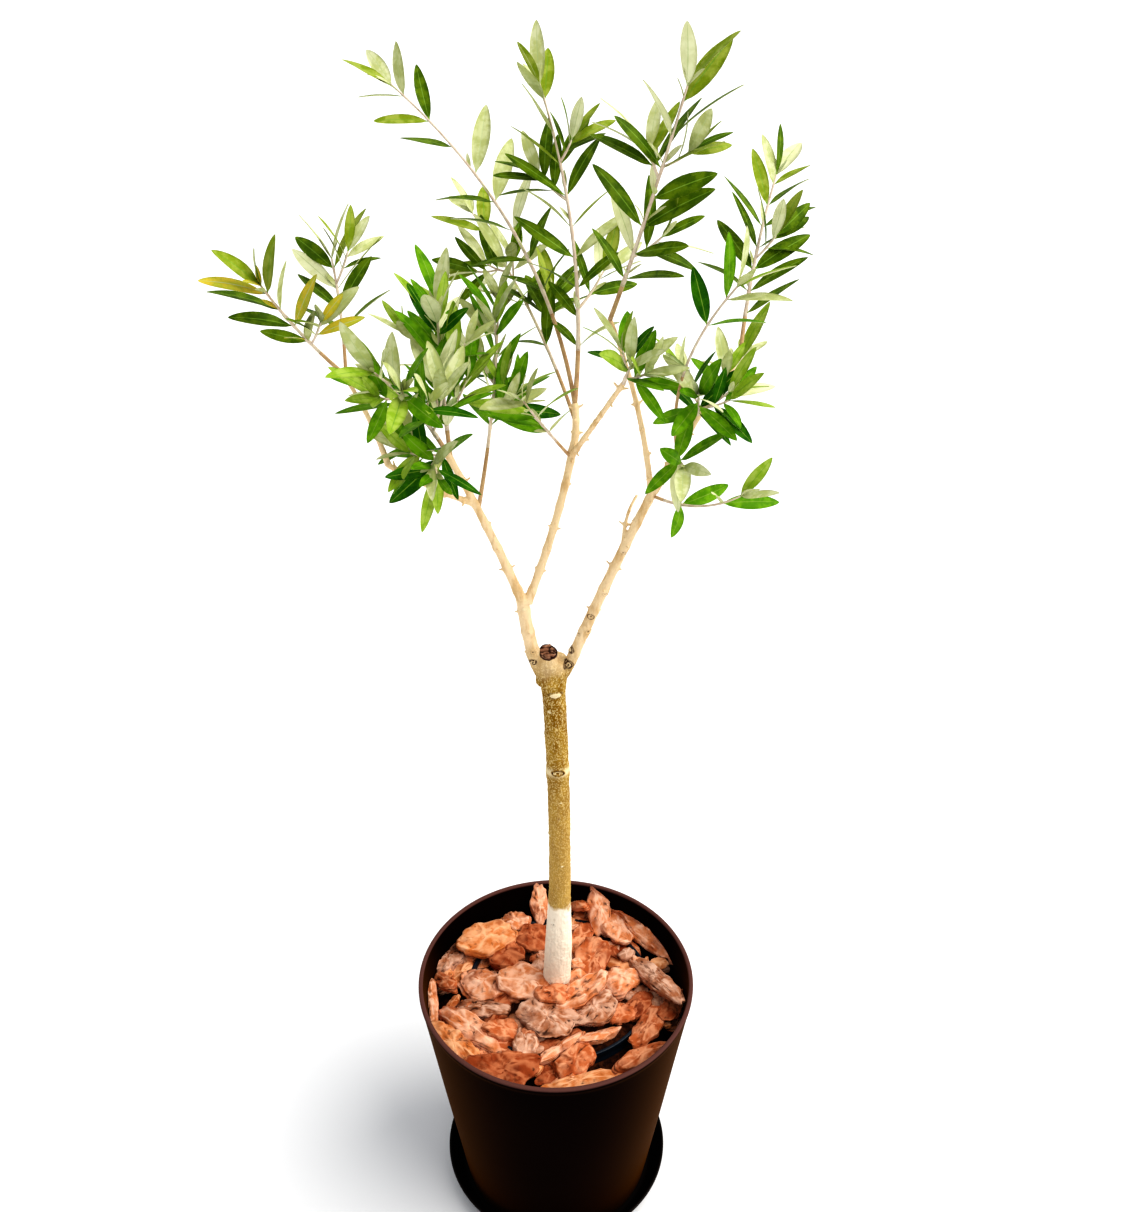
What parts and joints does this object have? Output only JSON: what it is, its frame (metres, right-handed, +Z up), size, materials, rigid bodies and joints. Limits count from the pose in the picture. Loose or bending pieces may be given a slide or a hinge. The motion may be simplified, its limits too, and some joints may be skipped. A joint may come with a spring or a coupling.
{
  "type": "potted olive tree",
  "caption": "Young olive tree with a bare trunk, open forked boughs and sprays of narrow leaves, standing in a round tapered pot with a saucer and bark mulch.",
  "frame": {"origin": "centre of the saucer's flat underside, on the surface that the pot stands on", "axes": "+Z up along the trunk, -Y to the plant's front, +X to the right seen from the front"},
  "size_m": [0.4548, 0.3711, 1.2361],
  "materials": {
    "trunk_bark": "matt olive-tan bark, paler at the foot",
    "bough_bark": "matt light tan bark",
    "leaf": "satin green above, pale sage below",
    "pot_plastic": "satin dark brown plastic",
    "saucer_plastic": "satin near-black brown plastic",
    "nursery_plastic": "semi-gloss black plastic",
    "soil": "rough dark potting soil",
    "bark_mulch": "rough red-brown pine bark"
  },
  "bodies": {
    "root": {"saucer": "saucer_plastic", "pot": "pot_plastic", "nursery_pot": "nursery_plastic", "soil": "soil", "bark_mulch": "bark_mulch", "trunk": "trunk_bark", "bough_left_foot": "bough_bark", "bough_left": "bough_bark", "bough_left_low": "bough_bark", "bough_left_outer": "bough_bark", "bough_middle": "bough_bark", "bough_middle_top": "bough_bark", "bough_middle_right": "bough_bark", "bough_right_foot": "bough_bark", "bough_right": "bough_bark", "bough_right_outer": "bough_bark", "bough_right_inner": "bough_bark", "twig_right": "bough_bark", "leaves_left_tip": "leaf", "leaves_left_inner": "leaf", "leaves_left_low": "leaf", "leaves_left_front": "leaf", "leaves_left_middle": "leaf", "leaves_left_back": "leaf", "leaves_tall_left": "leaf", "leaves_back_left": "leaf", "leaves_top": "leaf", "leaves_middle_low": "leaf", "leaves_middle_right": "leaf", "leaves_upper_right": "leaf", "leaves_far_right": "leaf", "leaves_right_front": "leaf", "leaves_right": "leaf", "leaves_right_inner": "leaf", "leaves_right_spur": "leaf", "leaves_right_low": "leaf"}
  },
  "joints": []
}
